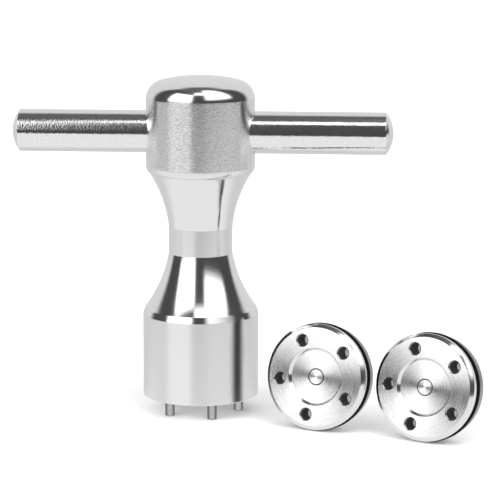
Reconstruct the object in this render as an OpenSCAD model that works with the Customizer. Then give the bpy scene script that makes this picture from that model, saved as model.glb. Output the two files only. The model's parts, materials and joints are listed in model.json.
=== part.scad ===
// Five-pin face spanner with a T handle, and the two round five-hole weights that it turns.
// The spanner stands on its pin tips. The weights stand on edge beside it, leaning back.
// Origin: on the spanner's axis at the pin tips. +X along the cross bar, +Z up, -Y to the front.

/* [Base] */
// Diameter of the foot that carries the pins
base_d = 22; // [21.2:0.2:28]
// Height of the plain part of the foot
base_h = 15.75; // [10:0.25:24]
// Break on the foot's lower edge
base_edge = 0.2; // [0.1:0.05:0.5]
// Height of the steep polished ring above the foot
ring_h = 1.15; // [0.6:0.05:2]
// Diameter at the top of the steep ring
ring_d = 21.2; // [18:0.1:21.6]

/* [Waist] */
// Diameter of the satin band at the waist
waist_d = 12.1; // [10:0.1:14]
// Height of the satin band
waist_h = 5; // [3:0.25:8]
// Height of the flare below the band
flare_h = 10.5; // [9:0.25:14]
// Profile radius of the flare below the band
flare_r = 24.5; // [16:0.5:60]
// Height of the flare above the band
neck_h = 10.25; // [9:0.25:14]
// Profile radius of the flare above the band
neck_r = 24; // [16:0.5:60]

/* [Head] */
// Diameter of the head that holds the cross bar
head_d = 20.6; // [20:0.1:21]
// Height of the head's plain cylinder
head_h = 12.55; // [10:0.05:16]
// Diameter where the neck meets the head's lower shoulder
shoulder_d = 19.2; // [18:0.1:19.6]
// Height of the rounded shoulder
shoulder_h = 1.4; // [0.8:0.1:2.5]
// Radius of the rounded top edge
dome_edge_r = 3.6; // [1:0.1:5]
// Rise of the shallow crown above the rounded edge
crown_h = 0.8; // [0.3:0.1:2]

/* [Cross bar] */
// Diameter of the cross bar
bar_d = 8; // [5:0.1:9]
// Length of the cross bar over its domed ends
bar_len = 71.8; // [40:0.1:100]
// Height of the dome on each end
bar_dome_h = 1.4; // [0.5:0.1:2.5]
// How far the bar sits off centre in the head
bar_shift = 0.35; // [0:0.05:1]
// Height of the bar's axis above the lower edge of the head's plain cylinder
bar_up = 6.35; // [5.5:0.05:7]

/* [Drive pins] */
// Diameter of the pins
pin_d = 1.8; // [1.2:0.1:2]
// Diameter of the circle through the pins
pin_circle_d = 14.4; // [13.6:0.1:15]
// How far the pins stand out of the foot
pin_out = 3.5; // [2:0.1:5]
// Diameter of the thinner tang that is pressed into the foot
tang_d = 1.4; // [0.8:0.1:1.6]
// How deep the tang goes into the foot
pin_in = 6; // [3:0.5:10]
// Break on the pins' tips and on the tangs' ends
pin_edge = 0.15; // [0.05:0.05:0.3]
// Turn of the first pin from the front, towards +X
pin_turn = 22; // [0:1:71]

/* [Weights] */
// Diameter of the front flange
flange_d = 19.7; // [19.5:0.1:19.9]
// Thickness of the front flange
flange_t = 1.45; // [1.2:0.05:1.6]
// Width of the bevel round the front face
bevel_w = 0.7; // [0.3:0.05:1]
// Depth of that bevel
bevel_t = 0.5; // [0.3:0.05:0.9]
// Diameter of the land behind the ring
land_d = 19; // [18.6:0.1:19.2]
// Overall thickness of a weight
weight_t = 5.5; // [4.5:0.1:8]
// Break on the land's rear edge
land_edge = 0.3; // [0.1:0.05:0.5]
// Diameter at the mouth of the round recess in the face
recess_d = 10.75; // [8:0.05:11]
// Depth of that recess
recess_t = 0.55; // [0.2:0.05:0.8]
// Width of the sloping wall of the recess
recess_wall = 0.45; // [0.2:0.05:0.8]
// Diameter of the holes for the pins
hole_d = 2.1; // [2.05:0.05:2.2]
// Depth of the holes
hole_t = 3.6; // [3:0.1:3.8]
// Diameter of the countersink at each hole's mouth
sink_d = 2.5; // [2.3:0.1:2.8]
// Diameter of the turned mark in the middle of the recess
mark_d = 3.2; // [2:0.1:6]
// Width and depth of the turned mark
mark_w = 0.25; // [0.1:0.05:0.4]

/* [Sealing ring] */
// Thickness of the sealing ring's cord
cord_d = 1.4; // [1.2:0.05:1.5]
// Outer diameter of the sealing ring
seal_d = 20; // [19.8:0.1:20.2]
// How much the ring is squeezed into its groove
seal_squeeze = 0.03; // [0:0.01:0.05]

/* [Places of the weights] */
// Right-hand offset of each weight's face centre
weight_x = [22.35, 42.3]; // [22:0.05:60]
// Front-to-back offset of each weight's face centre
weight_y = [-13.5, -19.9]; // [-40:0.1:-13]
// Turn of each weight's face away from the front, towards -X
weight_yaw = [22, 26.5]; // [0:0.5:40]
// Turn of each weight's hole pattern
weight_roll = [-25.6, -19.7]; // [-36:0.1:36]

/* [Hidden] */
$fn = 96;

// Five pins in the foot, and five holes in each weight
pin_count = 5;
pin_step = 360 / pin_count;

// Heights up the spanner, from the pin tips
base_z = pin_out;
ring_z = base_z + base_h;
flare_z = ring_z + ring_h;
waist_z = flare_z + flare_h;
neck_z = waist_z + waist_h;
shoulder_z = neck_z + neck_h;
head_z = shoulder_z + shoulder_h;
dome_z = head_z + head_h;
bar_z = head_z + bar_up;

// The shoulder is an arc that runs out upright at the head's wall
shoulder_in = (head_d - shoulder_d) / 2;
shoulder_r = (shoulder_in * shoulder_in + shoulder_h * shoulder_h) / (2 * shoulder_in);

// The crown is a sphere that runs out into the rounded top edge
edge_x = head_d / 2 - dome_edge_r;
crown_drop = (edge_x * edge_x - crown_h * crown_h) / (2 * crown_h);
crown_r = norm([edge_x, crown_drop]) + dome_edge_r;
crown_turn = atan2(crown_drop, edge_x);

// Radius of the sphere on the bar's ends
bar_end_r = (bar_d * bar_d / 4 + bar_dome_h * bar_dome_h) / (2 * bar_dome_h);

// The sealing ring's groove, measured back from the weight's face
groove_t = cord_d + 0.1;
groove_mid = flange_t + groove_t / 2;
seal_r = (seal_d - cord_d) / 2;
groove_r = seal_r - cord_d / 2 + seal_squeeze;

// A weight rests on its sealing ring and on the rear edge of its land, which sets how it leans
land_back = weight_t - land_edge - groove_mid;
land_out = land_d / 2 - seal_r;
lean = asin(cord_d / 2 / norm([land_back, land_out])) - atan2(land_out, land_back);
face_z = seal_r * cos(lean) + groove_mid * sin(lean) + cord_d / 2;

// Points of an arc about [cx, cy] from one angle to another, both ends included
function arc(cx, cy, r, from, to, steps = 24) =
    [for (i = [0:steps]) let (a = from + (to - from) * i / steps) [cx + r * cos(a), cy + r * sin(a)]];

// Points of a hollow arc of radius r from a to b, with its centre to the right of the way from a to b
function hollow(a, b, r) =
    let (chord = b - a, half = norm(chord) / 2, mid = (a + b) / 2, rise = sqrt(r * r - half * half),
         c = mid + [chord[1], -chord[0]] * rise / (2 * half),
         start = atan2(a[1] - c[1], a[0] - c[0]), end = atan2(b[1] - c[1], b[0] - c[0]))
    arc(c[0], c[1], r, start < 0 ? start + 360 : start, end < 0 ? end + 360 : end);

// Outline of the turned spanner body, up its wall from the foot to the crown
body_outline = concat(
    [[0, base_z], [base_d / 2 - base_edge, base_z], [base_d / 2, base_z + base_edge], [base_d / 2, ring_z]],
    hollow([ring_d / 2, flare_z], [waist_d / 2, waist_z], flare_r),
    hollow([waist_d / 2, neck_z], [shoulder_d / 2, shoulder_z], neck_r),
    arc(head_d / 2 - shoulder_r, head_z, shoulder_r, -asin(shoulder_h / shoulder_r), 0, 8),
    arc(edge_x, dome_z, dome_edge_r, 0, crown_turn, 16),
    arc(0, dome_z - crown_drop, crown_r, crown_turn, 90, 12));

// Lays a part that is drawn along +Z down along +X, at the bar's height
module along_bar() {
    translate([bar_shift, 0, bar_z])
        rotate([0, 90, 0])
            children();
}

// Puts a child at pin number i
module at_pin(i) {
    rotate([0, 0, pin_turn + i * pin_step])
        translate([0, -pin_circle_d / 2, 0])
            children();
}

// Stands a weight that is drawn face up on its edge, in place number i
module stand_up(i) {
    translate([weight_x[i], weight_y[i], face_z])
        rotate([0, 0, -weight_yaw[i]])
            rotate([90 - lean, 0, 0])
                rotate([0, 0, -weight_roll[i]])
                    children();
}

// The one turned piece that holds the bar and the pins
module spanner_body() {
    color("silver")
    difference() {
        rotate_extrude()
            polygon(body_outline);
        along_bar()
            cylinder(h = head_d + 2, d = bar_d, center = true);
        for (i = [0:pin_count - 1])
            at_pin(i)
                translate([0, 0, base_z - 1])
                    cylinder(h = pin_in + 1, d = tang_d);
    }
}

// One rod through the head, with domed ends
module cross_bar() {
    half = bar_len / 2;
    dome_turn = asin(bar_d / 2 / bar_end_r);
    color("gainsboro")
    along_bar()
        rotate_extrude()
            polygon(concat(
                arc(0, bar_end_r - half, bar_end_r, -90, dome_turn - 90, 10),
                arc(0, half - bar_end_r, bar_end_r, 90 - dome_turn, 90, 10)));
}

// Pin number i: a stud whose shoulder seats on the foot, over a pressed tang
module drive_pin(i) {
    color("dimgray")
    at_pin(i)
        rotate_extrude($fn = 48)
            polygon([
                [0, 0], [pin_d / 2 - pin_edge, 0], [pin_d / 2, pin_edge],
                [pin_d / 2, pin_out], [tang_d / 2, pin_out],
                [tang_d / 2, pin_out + pin_in - pin_edge], [tang_d / 2 - pin_edge, pin_out + pin_in],
                [0, pin_out + pin_in]]);
}

module drive_pin_1() { drive_pin(0); }
module drive_pin_2() { drive_pin(1); }
module drive_pin_3() { drive_pin(2); }
module drive_pin_4() { drive_pin(3); }
module drive_pin_5() { drive_pin(4); }

// Weight drawn face up: recess, bevel, flange, ring groove and rear land, all turned
module weight_turning() {
    face_r = flange_d / 2 - bevel_w;
    groove_back = flange_t + groove_t;
    rotate_extrude()
        polygon([
            [0, -recess_t],
            [mark_d / 2 - mark_w, -recess_t], [mark_d / 2 - mark_w / 2, -recess_t - mark_w / 2],
            [mark_d / 2, -recess_t],
            [recess_d / 2 - recess_wall, -recess_t], [recess_d / 2, 0],
            [face_r, 0], [flange_d / 2, -bevel_t], [flange_d / 2, -flange_t],
            [groove_r, -flange_t], [groove_r, -groove_back], [land_d / 2, -groove_back],
            [land_d / 2, land_edge - weight_t], [land_d / 2 - land_edge, -weight_t],
            [0, -weight_t]]);
}

// Weight number i, with its blind holes on the pins' circle
module weight_body(i) {
    sink_t = (sink_d - hole_d) / 2;
    color("lightgray")
    stand_up(i)
        difference() {
            weight_turning();
            for (k = [0:pin_count - 1])
                rotate([0, 0, -k * pin_step])
                    translate([0, pin_circle_d / 2, -hole_t]) {
                        cylinder(h = hole_t + 1, d = hole_d, $fn = 48);
                        translate([0, 0, hole_t - sink_t])
                            cylinder(h = 2 * sink_t, d1 = hole_d, d2 = sink_d + 2 * sink_t, $fn = 48);
                    }
        }
}

module weight_1_body() { weight_body(0); }
module weight_2_body() { weight_body(1); }

// Sealing ring of weight number i
module weight_o_ring(i) {
    color("black")
    stand_up(i)
        translate([0, 0, -groove_mid])
            rotate_extrude()
                translate([seal_r, 0])
                    circle(d = cord_d, $fn = 48);
}

module weight_1_o_ring() { weight_o_ring(0); }
module weight_2_o_ring() { weight_o_ring(1); }

spanner_body();
cross_bar();
drive_pin_1();
drive_pin_2();
drive_pin_3();
drive_pin_4();
drive_pin_5();
weight_1_body();
weight_1_o_ring();
weight_2_body();
weight_2_o_ring();
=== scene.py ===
"""Looks for the five-pin face spanner and its two weights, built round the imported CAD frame."""
import json
import math

import bmesh
import bpy
from mathutils import Matrix, Vector


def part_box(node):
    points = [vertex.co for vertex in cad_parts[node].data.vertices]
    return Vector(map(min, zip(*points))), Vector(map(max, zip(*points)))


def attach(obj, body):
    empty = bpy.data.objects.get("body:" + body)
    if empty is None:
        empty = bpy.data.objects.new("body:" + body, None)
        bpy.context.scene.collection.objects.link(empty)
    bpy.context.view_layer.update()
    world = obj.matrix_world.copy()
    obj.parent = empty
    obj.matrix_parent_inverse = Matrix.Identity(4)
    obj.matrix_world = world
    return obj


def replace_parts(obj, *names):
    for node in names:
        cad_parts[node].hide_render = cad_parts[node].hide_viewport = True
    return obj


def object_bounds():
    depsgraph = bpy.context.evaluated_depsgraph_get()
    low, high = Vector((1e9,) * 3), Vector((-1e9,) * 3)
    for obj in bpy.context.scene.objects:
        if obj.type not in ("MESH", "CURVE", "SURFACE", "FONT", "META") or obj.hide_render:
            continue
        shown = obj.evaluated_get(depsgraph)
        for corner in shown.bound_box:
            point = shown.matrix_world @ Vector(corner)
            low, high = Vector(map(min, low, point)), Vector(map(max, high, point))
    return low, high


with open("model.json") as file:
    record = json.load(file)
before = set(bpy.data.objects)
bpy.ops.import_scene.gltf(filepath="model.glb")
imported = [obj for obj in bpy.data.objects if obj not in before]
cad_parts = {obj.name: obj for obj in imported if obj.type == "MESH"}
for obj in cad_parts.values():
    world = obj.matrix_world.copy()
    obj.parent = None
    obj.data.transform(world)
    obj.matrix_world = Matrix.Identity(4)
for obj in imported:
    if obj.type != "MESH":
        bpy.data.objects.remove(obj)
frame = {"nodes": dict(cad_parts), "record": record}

CAD_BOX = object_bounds()
MM = 0.001
TAU = 2 * math.pi

# ---------------------------------------------------------------- sizes, in millimetres, as in the CAD
FOOT_R = 11.0
FOOT_H = 15.75
FOOT_BREAK = 0.2            # rounding of the foot's lower edge
RING_R = 10.6               # upper radius of the steep ring above the foot
RING_H = 1.15
WAIST_R = 6.05
WAIST_H = 5.0
FLARE_H = 10.5
FLARE_ARC = 24.5            # radius of the hollow between ring and waist
NECK_H = 10.25
NECK_ARC = 24.0             # radius of the hollow between waist and shoulder
SHOULDER_R = 9.6
SHOULDER_H = 1.4
HEAD_R = 10.3
HEAD_H = 12.55
DOME_EDGE = 3.6             # radius of the dome's outer bend
CROWN_H = 0.8               # rise of the crown inside that bend
SATIN_END_DEG = 5.0         # how far up the bend the satin of the head reaches

BAR_DOME = 1.4              # height of the bar's domed ends
PIN_BREAK = 0.15
PIN_ROOT = 0.3              # how far each pin is drawn into the foot

FLANGE_R = 9.85
FLANGE_T = 1.45
BEVEL_W = 0.7
BEVEL_T = 0.5
LAND_R = 9.5
LAND_BREAK = 0.3
WEIGHT_T = 5.5
RECESS_R = 5.375
RECESS_T = 0.55
RECESS_WALL = 0.45
HOLE_T = 3.6
SINK_R = 1.25
MARK_R = 1.6
MARK_W = 0.25
CORD_R = 0.7                # half the depth of the sealing ring's section
SEAL_R = 9.3                # radius of the sealing ring's middle line
SEAL_W = 1.9                # width of its section, squeezed wider than it is deep
GROOVE_W = SEAL_W + 0.1

MOUNTS = {m["name"]: m for m in frame["record"]["mounts"]}
PIN_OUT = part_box("spanner_body")[0].z / MM
HOLE_R = MOUNTS["weight_1_holes"]["dims"]["hole_r_mm"]
HOLE_CIRCLE_R = MOUNTS["weight_1_holes"]["dims"]["pcd_mm"] / 2
HOLE_COUNT = MOUNTS["weight_1_holes"]["dims"]["count"]


# ---------------------------------------------------------------- outlines
def arc(cx, cy, r, start, end, steps):
    """Points of an arc about (cx, cy), both ends included. Angles are in radians."""
    return [(cx + r * math.cos(start + (end - start) * i / steps),
             cy + r * math.sin(start + (end - start) * i / steps)) for i in range(steps + 1)]


def hollow(a, b, r, steps=40):
    """Points of a hollow arc of radius r from a up to b, with its centre on the right of the way."""
    a, b = Vector(a), Vector(b)
    way = b - a
    rise = math.sqrt(r * r - way.length_squared / 4)
    c = (a + b) / 2 + Vector((way.y, -way.x)).normalized() * rise
    start, end = (math.atan2(*(p - c).yx) % TAU for p in (a, b))
    return arc(c.x, c.y, r, start, end, steps)


def eased(points, radius, steps=5):
    """The corner points[1] of three points, rounded to a small radius."""
    a, b, c = (Vector(p) for p in points)
    u, v = (a - b).normalized(), (c - b).normalized()
    half = u.angle(v) / 2
    reach = radius / math.tan(half)
    p, q = b + u * reach, b + v * reach
    middle = b + (u + v).normalized() * (radius / math.sin(half))
    sweep = (p - middle).angle(q - middle)
    turn = 1 if (p - middle).cross(q - middle) > 0 else -1
    first = math.atan2(*(p - middle).yx)
    return arc(middle.x, middle.y, radius, first, first + turn * sweep, steps)


# ---------------------------------------------------------------- mesh building
def lathe(name, runs, around=240):
    """Turns runs of (points, material number) about Z into one closed skin, in metres.
    A run is smooth along itself, and the ring between two runs is a crease."""
    bm = bmesh.new()
    rings = []
    for points, material in runs:
        for r, z in points:
            if rings and abs(rings[-1][0] - r) + abs(rings[-1][1] - z) < 1e-4:
                continue
            rings.append([r, z, material, None])
    creases = {(round(run[0][0][0], 3), round(run[0][0][1], 3)) for run in runs}
    for ring in rings:
        r, z = ring[0] * MM, ring[1] * MM
        if r < 1e-9:
            ring[3] = [bm.verts.new((0, 0, z))]
        else:
            ring[3] = [bm.verts.new((r * math.cos(TAU * i / around), r * math.sin(TAU * i / around), z))
                       for i in range(around)]
    for low, high in zip(rings, rings[1:]):
        a, b = low[3], high[3]
        for i in range(around):
            j = (i + 1) % around
            corners = [a[i % len(a)], a[j % len(a)], b[j % len(b)], b[i % len(b)]]
            face = bm.faces.new(list(dict.fromkeys(corners)))
            face.material_index = high[2]
            face.smooth = True
    for ring in rings:
        if (round(ring[0], 3), round(ring[1], 3)) in creases and len(ring[3]) > 1:
            for i in range(around):
                edge = bm.edges.get((ring[3][i], ring[3][(i + 1) % around]))
                edge.smooth = False
    bmesh.ops.recalc_face_normals(bm, faces=bm.faces)
    mesh = bpy.data.meshes.new(name)
    bm.to_mesh(mesh)
    bm.free()
    piece = bpy.data.objects.new(name, mesh)
    bpy.context.scene.collection.objects.link(piece)
    return piece


def dress(piece, *materials):
    for material in materials:
        piece.data.materials.append(material)
    return piece


def carve(piece, cutter):
    """Cuts the cutter's shape out of a piece, and keeps the result as the piece's mesh."""
    cut = piece.modifiers.new("carve", "BOOLEAN")
    cut.operation, cut.solver, cut.object = "DIFFERENCE", "EXACT", cutter
    cut.material_mode = "INDEX"
    graph = bpy.context.evaluated_depsgraph_get()
    carved = bpy.data.meshes.new_from_object(piece.evaluated_get(graph))
    piece.modifiers.clear()
    piece.data = carved
    bpy.data.objects.remove(cutter)


# ---------------------------------------------------------------- node helpers
def new_material(name):
    material = bpy.data.materials.new(name)
    material.use_nodes = True
    tree = material.node_tree
    return material, tree, tree.nodes["Principled BSDF"]


def maths(tree, operation, a, b=None):
    """One Math node. a and b are numbers or output sockets."""
    node = tree.nodes.new("ShaderNodeMath")
    node.operation = operation
    for socket, value in zip(node.inputs, (a, b)):
        if value is None:
            continue
        if isinstance(value, (int, float)):
            socket.default_value = value
        else:
            tree.links.new(value, socket)
    return node.outputs[0]


def ramp(tree, value, low, high, out_low, out_high):
    node = tree.nodes.new("ShaderNodeMapRange")
    for name, number in (("From Min", low), ("From Max", high), ("To Min", out_low), ("To Max", out_high)):
        node.inputs[name].default_value = number
    tree.links.new(value, node.inputs["Value"])
    return node.outputs["Result"]


def smooth(tree, value, low, high, out_low, out_high):
    result = ramp(tree, value, low, high, out_low, out_high)
    result.node.interpolation_type = "SMOOTHSTEP"
    return result


def noise(tree, vector, scale, detail=3.0, rough=0.6):
    node = tree.nodes.new("ShaderNodeTexNoise")
    node.inputs["Scale"].default_value = scale
    node.inputs["Detail"].default_value = detail
    node.inputs["Roughness"].default_value = rough
    tree.links.new(vector, node.inputs["Vector"])
    return node.outputs["Fac"]


def stretched(tree, scale):
    """Object coordinates in metres, scaled by axis."""
    where = tree.nodes.new("ShaderNodeTexCoord")
    mapping = tree.nodes.new("ShaderNodeMapping")
    mapping.inputs["Scale"].default_value = scale
    tree.links.new(where.outputs["Object"], mapping.inputs["Vector"])
    return mapping.outputs["Vector"]


def bump(tree, shader, height, distance, strength=1.0):
    node = tree.nodes.new("ShaderNodeBump")
    node.inputs["Strength"].default_value = strength
    node.inputs["Distance"].default_value = distance
    tree.links.new(height, node.inputs["Height"])
    tree.links.new(node.outputs["Normal"], shader.inputs["Normal"])


# ---------------------------------------------------------------- materials
def metal(name, colour, rough, marks, tone, depth, uneven=0.2):
    """Bare metal whose tint, gloss and surface follow one pattern of marks, a function of the node tree."""
    material, tree, shader = new_material(name)
    shader.inputs["Metallic"].default_value = 1.0
    pattern = marks(tree)
    tint = tree.nodes.new("ShaderNodeMix")
    tint.data_type = "RGBA"
    tint.inputs["A"].default_value = (*[c * (1 - tone) for c in colour], 1)
    tint.inputs["B"].default_value = (*[min(1.0, c * (1 + tone)) for c in colour], 1)
    tree.links.new(ramp(tree, pattern, 0.25, 0.75, 0, 1), tint.inputs["Factor"])
    tree.links.new(tint.outputs["Result"], shader.inputs["Base Color"])
    tree.links.new(ramp(tree, pattern, 0.3, 0.7, rough * (1 - uneven), rough * (1 + uneven)),
                   shader.inputs["Roughness"])
    bump(tree, shader, pattern, depth)
    return material, tree, shader


def turned_metal(name, colour, rough, tone, depth, axis="Z", grain=0.6, fine=6000.0, run=700.0, uneven=0.2,
                 detail=3.0):
    """Metal turned about an axis. fine and run count the marks in a metre, across and along the turning."""
    scale = (fine, run, run) if axis == "X" else (run, run, fine)

    def marks(tree):
        lines = noise(tree, stretched(tree, scale), 1.0, detail=detail, rough=0.6)
        clouds = noise(tree, stretched(tree, (1, 1, 1)), 160.0, detail=2.0)
        return maths(tree, "ADD", maths(tree, "MULTIPLY", lines, 0.92), maths(tree, "MULTIPLY", clouds, 0.08))

    material, tree, shader = metal(name, colour, rough, marks, tone, depth, uneven)
    if grain:
        tangent = tree.nodes.new("ShaderNodeTangent")
        tangent.direction_type = "RADIAL"
        tangent.axis = axis
        tree.links.new(tangent.outputs[0], shader.inputs["Tangent"])
        shader.inputs["Anisotropic"].default_value = grain
        shader.inputs["Anisotropic Rotation"].default_value = 0.25
    return material


def adjust(material, socket, value):
    """Sets one of a material's constants on its shader."""
    material.node_tree.nodes["Principled BSDF"].inputs[socket].default_value = value


def paint_reflected_dark_sides(material, facing, edge):
    """Paints dark sides into a small round part's base colour, darker where its surface turns away from the
    eye: a painted reflection of the shade around it.
    """
    tree = material.node_tree
    shader = tree.nodes["Principled BSDF"]
    weight_node = tree.nodes.new("ShaderNodeLayerWeight")
    weight_node.inputs["Blend"].default_value = 0.5
    mix = tree.nodes.new("ShaderNodeMix")
    mix.data_type = "RGBA"
    mix.inputs["A"].default_value = (*facing, 1)
    mix.inputs["B"].default_value = (*edge, 1)
    tree.links.new(ramp(tree, weight_node.outputs["Facing"], 0.05, 0.45, 0, 1), mix.inputs["Factor"])
    tree.links.new(mix.outputs["Result"], shader.inputs["Base Color"])


def faced_metal(name, colour, rough, tone, depth, grain=0.8, fine=5000.0, run=260.0):
    """Metal faced on a lathe: fine rings, whose gloss spreads outward along the spokes."""

    def marks(tree):
        spoke = spoke_of(tree)
        reach = tree.nodes.new("ShaderNodeVectorMath")
        reach.operation = "LENGTH"
        tree.links.new(spoke, reach.inputs[0])
        split = tree.nodes.new("ShaderNodeSeparateXYZ")
        tree.links.new(spoke, split.inputs[0])
        join = tree.nodes.new("ShaderNodeCombineXYZ")
        tree.links.new(maths(tree, "MULTIPLY", reach.outputs["Value"], fine), join.inputs[0])
        tree.links.new(maths(tree, "MULTIPLY", split.outputs[0], run), join.inputs[1])
        tree.links.new(maths(tree, "MULTIPLY", split.outputs[2], run), join.inputs[2])
        return noise(tree, join.outputs[0], 1.0, detail=3.0, rough=0.6)

    material, tree, shader = metal(name, colour, rough, marks, tone, depth)
    tree.links.new(spoke_of(tree), shader.inputs["Tangent"])
    shader.inputs["Anisotropic"].default_value = grain
    return material


def spoke_of(tree):
    """The way out from the weight's axis, which the weight's mesh carries."""
    node = tree.nodes.new("ShaderNodeAttribute")
    node.attribute_name = "spoke"
    return node.outputs["Vector"]


def seal_rubber():
    material, tree, shader = new_material("seal_rubber")
    shader.inputs["Base Color"].default_value = (0.004, 0.004, 0.0045, 1)
    shader.inputs["Specular IOR Level"].default_value = 0.04
    pores = noise(tree, stretched(tree, (1, 1, 1)), 2600.0, detail=3.0)
    tree.links.new(ramp(tree, pores, 0.3, 0.7, 0.4, 0.6), shader.inputs["Roughness"])
    bump(tree, shader, pores, 0.00001)
    return material


STEEL = (0.85, 0.85, 0.85)
WARM_STEEL = (0.83, 0.82, 0.815)
POLISHED = turned_metal("polished_turning", STEEL, 0.13, 0.015, 0.0000006, grain=0.3, fine=4000)
SHOULDER = turned_metal("buffed_shoulder", STEEL, 0.24, 0.015, 0.0000006, grain=0.6, uneven=0.05)
SATIN_HEAD = turned_metal("satin_head", WARM_STEEL, 0.25, 0.15, 0.0000004, grain=0.93, fine=8200, run=2100,
                          uneven=0.05, detail=0.0)
SATIN_WAIST = turned_metal("satin_waist", STEEL, 0.22, 0.02, 0.0000004, grain=0.9, uneven=0.04)
FOOT_STEEL = turned_metal("foot_steel", STEEL, 0.25, 0.012, 0.0000002, grain=0.93, uneven=0.03)
UNDERSIDE = turned_metal("faced_underside", WARM_STEEL, 0.3, 0.05, 0.000004, grain=0.0)
BAR_STEEL = turned_metal("bar_steel", STEEL, 0.1, 0.04, 0.000014, axis="X", grain=0.3, fine=3800, run=3800,
                         uneven=0.05, detail=0.0)
PIN_STEEL = turned_metal("pin_steel", STEEL, 0.14, 0.08, 0.000001, grain=0.3)
FACE_STEEL = faced_metal("faced_steel", (0.88, 0.88, 0.88), 0.27, 0.04, 0.0000012, grain=0.96, run=500.0)
EDGE_STEEL = turned_metal("weight_edge_steel", STEEL, 0.14, 0.02, 0.0000008, grain=0.0)
# Painted reflection and painted shade: the land is dark grey for the black sealing ring it mirrors and the
# shade behind that ring.
SHADED_LAND_STEEL = turned_metal("land_painted_seal_reflection", (0.36, 0.36, 0.36), 0.24, 0.10, 0.000004, grain=0.0)
# Painted shade: the hole walls are near-black and not metallic, standing in for the shade inside the holes.
SHADED_HOLE_WALL_STEEL = turned_metal("hole_wall_painted_shade", (0.045, 0.035, 0.035), 0.45, 0.1, 0.000002, grain=0.0)
# Painted glint: the hole floors are light and glow faintly, standing in for light caught on the drill point's
# floor.
GLOWING_HOLE_FLOOR_STEEL = turned_metal("hole_floor_painted_glint", (0.9, 0.88, 0.88), 0.5, 0.1, 0.000002, grain=0.0)
adjust(GLOWING_HOLE_FLOOR_STEEL, "Emission Color", (1, 0.97, 0.97, 1))
adjust(GLOWING_HOLE_FLOOR_STEEL, "Emission Strength", 0.3)
adjust(SHADED_HOLE_WALL_STEEL, "Metallic", 0.0)
adjust(SHADED_HOLE_WALL_STEEL, "Specular IOR Level", 0.15)
# Painted shade: the engraved mark is dark grey, standing in for the shade in its groove.
SHADED_MARK_STEEL = turned_metal("mark_painted_shade", (0.22, 0.22, 0.22), 0.3, 0.1, 0.000002, grain=0.0)
# Painted reflection: the pins' sides are painted dark and their middles light, for the shaded floor and foot
# they would mirror.
paint_reflected_dark_sides(PIN_STEEL, (0.52, 0.50, 0.52), (0.06, 0.055, 0.065))
RUBBER = seal_rubber()
WEIGHT_METALS = (FACE_STEEL, EDGE_STEEL, SHADED_LAND_STEEL, SHADED_HOLE_WALL_STEEL, GLOWING_HOLE_FLOOR_STEEL, SHADED_MARK_STEEL)
FACE, EDGE, LAND, HOLE, HOLE_FLOOR, MARK = range(6)


# ---------------------------------------------------------------- the spanner
def spanner_body():
    """The turned body, in six runs of finish from the foot's underside to the crown."""
    foot_z = PIN_OUT
    ring_z = foot_z + FOOT_H
    flare_z = ring_z + RING_H
    waist_z = flare_z + FLARE_H
    neck_z = waist_z + WAIST_H
    shoulder_z = neck_z + NECK_H
    head_z = shoulder_z + SHOULDER_H
    dome_z = head_z + HEAD_H
    step = HEAD_R - SHOULDER_R
    bulge = (step * step + SHOULDER_H ** 2) / (2 * step)
    edge_x = HEAD_R - DOME_EDGE
    drop = (edge_x ** 2 - CROWN_H ** 2) / (2 * CROWN_H)
    crown = math.hypot(edge_x, drop) + DOME_EDGE
    join = math.atan2(drop, edge_x)
    satin_end = math.radians(SATIN_END_DEG)
    flare = hollow((RING_R, flare_z), (WAIST_R, waist_z), FLARE_ARC)
    neck = hollow((WAIST_R, neck_z), (SHOULDER_R, shoulder_z), NECK_ARC)
    underside, foot, polished, shoulder, satin_waist, satin_head = range(6)
    corner = eased([(0, foot_z), (FOOT_R, foot_z), (FOOT_R, ring_z)], FOOT_BREAK)
    top_edge = eased([(FOOT_R, foot_z), (FOOT_R, ring_z), (RING_R, flare_z)], 0.12)
    ring_edge = eased([(FOOT_R, ring_z), (RING_R, flare_z), flare[2]], 0.10)
    runs = [
        ([(0, foot_z), (FOOT_R * 0.5, foot_z), corner[0]], underside),
        (corner, foot),
        ([corner[-1], (FOOT_R, foot_z + 5), (FOOT_R, foot_z + 10), top_edge[0]], foot),
        (top_edge, polished),
        ([top_edge[-1], ring_edge[0]], polished),
        (ring_edge, polished),
        ([ring_edge[-1]] + flare[2:], polished),
        ([flare[-1], neck[0]], satin_waist),
        (neck, polished),
        (arc(HEAD_R - bulge, head_z, bulge, -math.asin(SHOULDER_H / bulge), 0, 10), shoulder),
        ([(HEAD_R, head_z), (HEAD_R, head_z + HEAD_H / 2), (HEAD_R, dome_z)]
         + arc(edge_x, dome_z, DOME_EDGE, 0, satin_end, 3)[1:], satin_head),
        (arc(edge_x, dome_z, DOME_EDGE, satin_end, join, 28)
         + arc(0, dome_z - drop, crown, join, math.pi / 2, 24)[1:-1]
         + [(0, dome_z - drop + crown)], polished),
    ]
    piece = lathe("turned_body", runs)
    dress(piece, UNDERSIDE, FOOT_STEEL, POLISHED, SHOULDER, SATIN_WAIST, SATIN_HEAD)
    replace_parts(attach(piece, "spanner"), "spanner_body")


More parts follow.
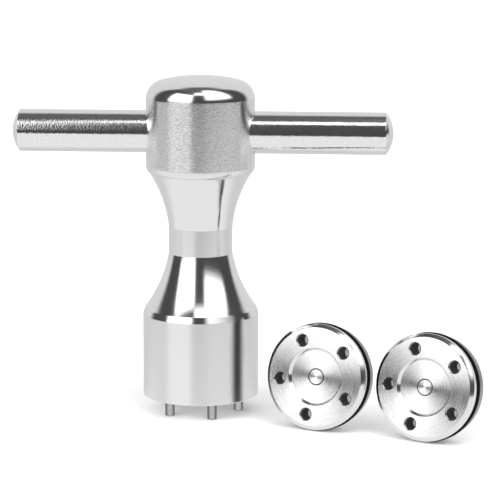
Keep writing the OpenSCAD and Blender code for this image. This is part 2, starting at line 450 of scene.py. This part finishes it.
def cross_bar():
    """The rod, drawn along Z and laid along X where the CAD bar lies."""
    low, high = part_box("cross_bar")
    half, r = (high.x - low.x) / 2 / MM, (high.z - low.z) / 2 / MM
    ball = (r * r + BAR_DOME ** 2) / (2 * BAR_DOME)
    reach = math.asin(r / ball)
    shoulder = half - BAR_DOME
    near = arc(0, ball - half, ball, -math.pi / 2, reach - math.pi / 2, 16)
    far = [(x, -z) for x, z in reversed(near)]
    edge = eased([near[-3], (r, -shoulder), (r, shoulder)], 0.12)
    back = [(x, -z) for x, z in reversed(edge)]
    runs = [([(0, -half)] + near[1:-2] + [edge[0]], 0), (edge, 0),
            ([edge[-1], (r, 0), back[0]], 0), (back, 0),
            ([back[-1]] + far[2:-1] + [(0, half)], 0)]
    piece = lathe("polished_bar", runs, around=160)
    piece.data.transform(Matrix.Translation((low + high) / 2) @ Matrix.Rotation(math.pi / 2, 4, "Y"))
    centre = (low + high) / 2
    piece.data.transform(Matrix.Translation(-centre))
    piece.location = centre
    dress(piece, BAR_STEEL)
    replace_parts(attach(piece, "spanner"), "cross_bar")


def drive_pin(node):
    low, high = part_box(node)
    r = (high.x - low.x) / 2 / MM
    tip = eased([(0, 0), (r, 0), (r, PIN_OUT)], PIN_BREAK)
    runs = [([(0, 0), tip[0]], 0), (tip, 0), ([tip[-1], (r, PIN_OUT / 2), (r, PIN_OUT + PIN_ROOT)], 0),
            ([(r, PIN_OUT + PIN_ROOT), (0, PIN_OUT + PIN_ROOT)], 0)]
    piece = lathe(node.replace("drive", "ground"), runs, around=96)
    piece.location = ((low.x + high.x) / 2, (low.y + high.y) / 2, low.z)
    dress(piece, PIN_STEEL)
    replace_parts(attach(piece, "spanner"), node)


# ---------------------------------------------------------------- the weights
def weight_frame(number):
    """Where a weight stands: Z out of its face, and Y up along its face."""
    mount = MOUNTS[f"weight_{number}_holes"]
    face, out = Vector(mount["pos_m"]), Vector(mount["axis"]).normalized()
    side = Vector((-out.y, out.x, 0)).normalized()
    up = out.cross(side)
    spread = Matrix((side, up, out)).transposed().to_4x4()
    return Matrix.Translation(face) @ spread


def hole_turn(number, place):
    """The turn of the CAD's hole pattern, from the points on the holes' floors."""
    inverse = place.inverted()
    total = complex(0, 0)
    for v in frame["nodes"][f"weight_{number}_body"].data.vertices:
        p = inverse @ v.co
        if abs(p.z + HOLE_T * MM) < 1e-5 and abs(p.xy.length - HOLE_CIRCLE_R * MM) < 1.3 * HOLE_R * MM:
            total += complex(p.x, p.y) ** HOLE_COUNT
    return math.atan2(total.imag, total.real) / HOLE_COUNT


def weight_outline():
    """The weight's turned runs, drawn face up with the face at zero height."""
    face_r = FLANGE_R - BEVEL_W
    back = FLANGE_T + GROOVE_W
    groove_r = SEAL_R - CORD_R
    mark = [(MARK_R - MARK_W, -RECESS_T), (MARK_R - MARK_W / 2, -RECESS_T - MARK_W / 2), (MARK_R, -RECESS_T)]
    rim = [(RECESS_R - RECESS_WALL, -RECESS_T), (RECESS_R, 0)]
    lip = eased([rim[0], rim[1], (face_r, 0)], 0.12, 4)
    bevel = eased([(RECESS_R, 0), (face_r, 0), (FLANGE_R, -BEVEL_T)], 0.06, 3)
    flange = eased([(face_r, 0), (FLANGE_R, -BEVEL_T), (FLANGE_R, -FLANGE_T)], 0.08, 4)
    heel = eased([(FLANGE_R, 0), (FLANGE_R, -FLANGE_T), (groove_r, -FLANGE_T)], 0.06, 3)
    front = eased([(groove_r, -back), (LAND_R, -back), (LAND_R, -WEIGHT_T)], 0.08, 4)
    tail = [(LAND_R, LAND_BREAK - WEIGHT_T), (LAND_R - LAND_BREAK, -WEIGHT_T)]
    # The mark and land runs take dark grey steel: painted shade in the mark's groove, and a painted
    # reflection of the black seal together with painted shade on the land.
    return [
        ([(0, -RECESS_T), mark[0]], FACE), (mark[:2], MARK), (mark[1:], MARK),
        ([mark[2], rim[0]], FACE), ([rim[0], lip[0]], EDGE), (lip, EDGE),
        ([lip[-1], bevel[0]], FACE), (bevel, EDGE), ([bevel[-1], flange[0]], EDGE), (flange, EDGE),
        ([flange[-1], heel[0]], EDGE), (heel, EDGE), ([heel[-1], (groove_r, -FLANGE_T)], EDGE),
        ([(groove_r, -FLANGE_T), (groove_r, -back)], EDGE), ([(groove_r, -back), front[0]], EDGE),
        (front, LAND), ([front[-1], tail[0]], LAND), (tail, LAND), ([tail[1], (0, -WEIGHT_T)], FACE),
    ]


def drill(turn):
    """The five countersunk holes, as one cutter."""
    bm = bmesh.new()
    sink_t = SINK_R - HOLE_R
    outline = [(0, -HOLE_T), (HOLE_R, -HOLE_T), (HOLE_R, -sink_t), (SINK_R + 0.3, 0.3), (0, 0.3)]
    for k in range(HOLE_COUNT):
        angle = turn + TAU * k / HOLE_COUNT
        centre = Vector((math.cos(angle), math.sin(angle), 0)) * HOLE_CIRCLE_R * MM
        around = 72
        rings = []
        for r, z in outline:
            if r == 0:
                rings.append([bm.verts.new(centre + Vector((0, 0, z * MM)))])
            else:
                rings.append([bm.verts.new(centre + Vector((r * math.cos(TAU * i / around),
                                                            r * math.sin(TAU * i / around), z)) * MM)
                              for i in range(around)])
        for a, b in zip(rings, rings[1:]):
            for i in range(around):
                j = (i + 1) % around
                corners = [a[i % len(a)], a[j % len(a)], b[j % len(b)], b[i % len(b)]]
                face = bm.faces.new(list(dict.fromkeys(corners)))
                top = max(v.co.z for v in face.verts)
                # The floor faces take the glowing hole floor, a painted glint, and the walls take the dark
                # hole wall, painted shade.
                face.material_index = HOLE_FLOOR if top < -0.9 * HOLE_T * MM else LAND if top > 0 else HOLE
                face.smooth = True
    bmesh.ops.recalc_face_normals(bm, faces=bm.faces)
    mesh = bpy.data.meshes.new("cutter")
    bm.to_mesh(mesh)
    bm.free()
    cutter = bpy.data.objects.new("cutter", mesh)
    bpy.context.scene.collection.objects.link(cutter)
    return cutter


def add_spokes(piece, place):
    """Gives each point the way out from the weight's axis, turned as the weight stands."""
    spokes = piece.data.attributes.new("spoke", "FLOAT_VECTOR", "POINT")
    for v, spoke in zip(piece.data.vertices, spokes.data):
        spoke.vector = place.to_3x3() @ Vector((v.co.x, v.co.y, 0))


def stand(piece, place):
    """Turns a piece's mesh as the weight stands, and moves the piece to the weight's place."""
    piece.data.transform(place.to_3x3().to_4x4())
    piece.location = place.translation


def weight(number):
    place = weight_frame(number)
    piece = lathe(f"turned_weight_{number}", weight_outline())
    dress(piece, *WEIGHT_METALS)
    cutter = drill(hole_turn(number, place))
    dress(cutter, *WEIGHT_METALS)
    carve(piece, cutter)
    piece.data.set_sharp_from_angle(angle=math.radians(22))
    add_spokes(piece, place)
    stand(piece, place)
    body = f"weight_{number}"
    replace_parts(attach(piece, body), f"weight_{number}_body")
    seal(number, place)


def seal(number, place):
    """The sealing ring, oval in section, that sits in the groove."""
    middle = -(FLANGE_T + GROOVE_W / 2)
    widen = SEAL_W / (2 * CORD_R)
    ring = [(r, middle + (z - middle) * widen) for r, z in arc(SEAL_R, middle, CORD_R, 0, TAU, 40)]
    piece = lathe(f"black_ring_{number}", [(ring, 0)])
    bm = bmesh.new()
    bm.from_mesh(piece.data)
    bmesh.ops.remove_doubles(bm, verts=bm.verts, dist=1e-7)
    bmesh.ops.recalc_face_normals(bm, faces=bm.faces)
    for edge in bm.edges:
        edge.smooth = True
    bm.to_mesh(piece.data)
    bm.free()
    stand(piece, place)
    dress(piece, RUBBER)
    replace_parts(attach(piece, f"weight_{number}"), f"weight_{number}_o_ring")


# ---------------------------------------------------------------- floor, light and camera
CAMERA_PLACE = Vector((35.53, -398.48, 106.01)) * MM
CAMERA_HEADING, CAMERA_PITCH, CAMERA_ROLL = (math.radians(a) for a in (-3.753, 10.582, 0.143))
LENS_MM = 154.2


def camera():
    data = bpy.data.cameras.new("camera")
    data.sensor_width, data.lens = 36, LENS_MM
    data.clip_start, data.clip_end = 0.01, 10
    piece = bpy.data.objects.new("camera", data)
    piece.matrix_world = (Matrix.Translation(CAMERA_PLACE) @ Matrix.Rotation(-CAMERA_HEADING, 4, "Z")
                          @ Matrix.Rotation(math.pi / 2 - CAMERA_PITCH, 4, "X")
                          @ Matrix.Rotation(CAMERA_ROLL, 4, "Z"))
    bpy.context.scene.collection.objects.link(piece)
    bpy.context.scene.camera = piece


def plane(name, corners, material):
    mesh = bpy.data.meshes.new(name)
    mesh.from_pydata([Vector(c) for c in corners], [], [(0, 1, 2, 3)])
    mesh.materials.append(material)
    piece = bpy.data.objects.new(name, mesh)
    bpy.context.scene.collection.objects.link(piece)
    return piece


def hide_from_camera(card):
    """Leaves a card to be seen only as a reflection in the metal."""
    card.visible_camera = False
    card.visible_diffuse = False
    card.visible_shadow = False


def floor():
    """The white table, and its evenly lit double, which ends in front where the studio's dark side begins."""
    material, tree, shader = new_material("white_table")
    shader.inputs["Base Color"].default_value = (0.93, 0.93, 0.93, 1)
    shader.inputs["Roughness"].default_value = 0.8
    shader.inputs["Specular IOR Level"].default_value = 0.1
    low, high = CAD_BOX
    front, side, back = 0.6, 0.8, 1.2
    table = plane("table", [(low.x - side, -front, low.z), (high.x + side, -front, low.z),
                            (high.x + side, back, low.z), (low.x - side, back, low.z)], material)
    table.visible_glossy = False
    glow, tree, shader = new_material("mirrored_table")
    shader.inputs["Base Color"].default_value = (0, 0, 0, 1)
    shader.inputs["Specular IOR Level"].default_value = 0
    shader.inputs["Emission Color"].default_value = (1, 1, 1, 1)
    way = tree.nodes.new("ShaderNodeVectorMath")
    way.operation = "NORMALIZE"
    tree.links.new(stretched(tree, (1, 1, 1)), way.inputs[0])
    split = tree.nodes.new("ShaderNodeSeparateXYZ")
    tree.links.new(way.outputs[0], split.inputs[0])
    tree.links.new(smooth(tree, split.outputs[1], -0.1, 0.6, 0.92, 0.70), shader.inputs["Emission Strength"])
    near = 0.29
    mirrored = plane("mirrored_table", [(-side, -near, low.z), (side, -near, low.z),
                                        (side, back, low.z), (-side, back, low.z)], glow)
    hide_from_camera(mirrored)


def sky():
    """The studio as seen in the metal: pale backdrop, dark sides and ceiling, and two soft boxes in front.
    Directions are turns from the camera's side, right positive, and heights above the horizon."""
    world = bpy.data.worlds.new("studio")
    bpy.context.scene.world = world
    world.use_nodes = True
    tree = world.node_tree
    tree.nodes.clear()
    where = tree.nodes.new("ShaderNodeTexCoord")
    split = tree.nodes.new("ShaderNodeSeparateXYZ")
    tree.links.new(where.outputs["Generated"], split.inputs[0])
    x, y, z = split.outputs
    turn = maths(tree, "ARCTAN2", x, maths(tree, "MULTIPLY", y, -1.0))
    camera_turn = math.degrees(math.atan2(CAMERA_PLACE.x, -CAMERA_PLACE.y))
    az = maths(tree, "SUBTRACT", maths(tree, "MULTIPLY", turn, 180 / math.pi), camera_turn)
    el = maths(tree, "MULTIPLY", maths(tree, "ARCSINE", z), 180 / math.pi)
    level = BACKDROP
    for area in STUDIO:
        mask = maths(tree, "MULTIPLY", window(tree, az, *area["turn"]), window(tree, el, *area["height"]))
        change = maths(tree, "MULTIPLY", mask, maths(tree, "SUBTRACT", area["level"], level))
        level = maths(tree, "ADD", change, level)
    glow = tree.nodes.new("ShaderNodeBackground")
    tree.links.new(level, glow.inputs["Color"])
    white = tree.nodes.new("ShaderNodeBackground")
    white.inputs["Color"].default_value = (1.1, 1.1, 1.1, 1)
    ray = tree.nodes.new("ShaderNodeLightPath")
    pick = tree.nodes.new("ShaderNodeMixShader")
    out = tree.nodes.new("ShaderNodeOutputWorld")
    tree.links.new(ray.outputs["Is Camera Ray"], pick.inputs[0])
    tree.links.new(glow.outputs[0], pick.inputs[1])
    tree.links.new(white.outputs[0], pick.inputs[2])
    tree.links.new(pick.outputs[0], out.inputs[0])


def window(tree, value, low, high, soft):
    """1 between low and high, fading to 0 over soft either side of each."""
    rise = smooth(tree, value, low - soft, low + soft, 0, 1)
    fall = smooth(tree, value, high - soft, high + soft, 1, 0)
    return maths(tree, "MULTIPLY", rise, fall)


# Later areas cover earlier ones. turn and height are from, to and softness, in degrees.
BACKDROP = 0.76
DARK_FRONT = dict(turn=(-115, 115, 8), height=(-95, 95, 0.5), level=0.07)
CEILING = dict(turn=(-190, 190, 1), height=(67, 95, 8), level=0.13)
LEFT_SOFT_BOX = dict(turn=(-71, -20, 6), height=(8, 51, 5), level=2.5)
RIGHT_SOFT_BOX = dict(turn=(12, 73, 7), height=(24, 81, 9), level=2.0)
OVERHEAD_GLOW = dict(turn=(-20, 14, 4), height=(52, 68, 4), level=1.7)
STUDIO = (DARK_FRONT, CEILING, LEFT_SOFT_BOX, RIGHT_SOFT_BOX, OVERHEAD_GLOW)


def lamp(name, towards, spread, strength):
    """A very wide soft light from one direction, which lights the table and rubber but isn't mirrored."""
    data = bpy.data.lights.new(name, "SUN")
    data.angle, data.energy = math.radians(spread), strength
    piece = bpy.data.objects.new(name, data)
    piece.rotation_mode = "QUATERNION"
    piece.rotation_quaternion = (-Vector(towards)).to_track_quat("-Z", "Y")
    piece.visible_glossy = False
    bpy.context.scene.collection.objects.link(piece)


def reflected_shade_card():
    """A dark card in the gap between the foot and the first weight, which only the metal mirrors: a painted
    reflection of the shade there, darkest down its middle.
    """
    material, tree, shader = new_material("painted_shade_card")
    where = tree.nodes.new("ShaderNodeTexCoord")
    split = tree.nodes.new("ShaderNodeSeparateXYZ")
    tree.links.new(where.outputs["Generated"], split.inputs[0])
    off_middle = maths(tree, "ABSOLUTE", maths(tree, "SUBTRACT", split.outputs[0], 0.5))
    shade = smooth(tree, off_middle, 0.1, 0.5, 0.03, 0.75)
    tree.links.new(shade, shader.inputs["Base Color"])
    shader.inputs["Roughness"].default_value = 1.0
    near, far = Vector((12.0, -11.6, 0)) * MM, Vector((14.5, -5.4, 0)) * MM
    down, up = Vector((0, 0, -0.008)), Vector((0, 0, 0.021))
    card = plane("flag", [near + down, far + down, far + up, near + up], material)
    hide_from_camera(card)


spanner_body()
cross_bar()
for pin in range(1, HOLE_COUNT + 1):
    drive_pin(f"drive_pin_{pin}")
for number in (1, 2):
    weight(number)
floor()
reflected_shade_card()
sky()
lamp("top_light", (0.1, -0.35, 1), 100, 1.2)
lamp("low_light_left", (-1, -0.9, 0.35), 50, 2.2)
lamp("low_light_right", (0.9, -1, 0.4), 50, 1.6)
camera()
bpy.context.scene.view_settings.view_transform = "Standard"
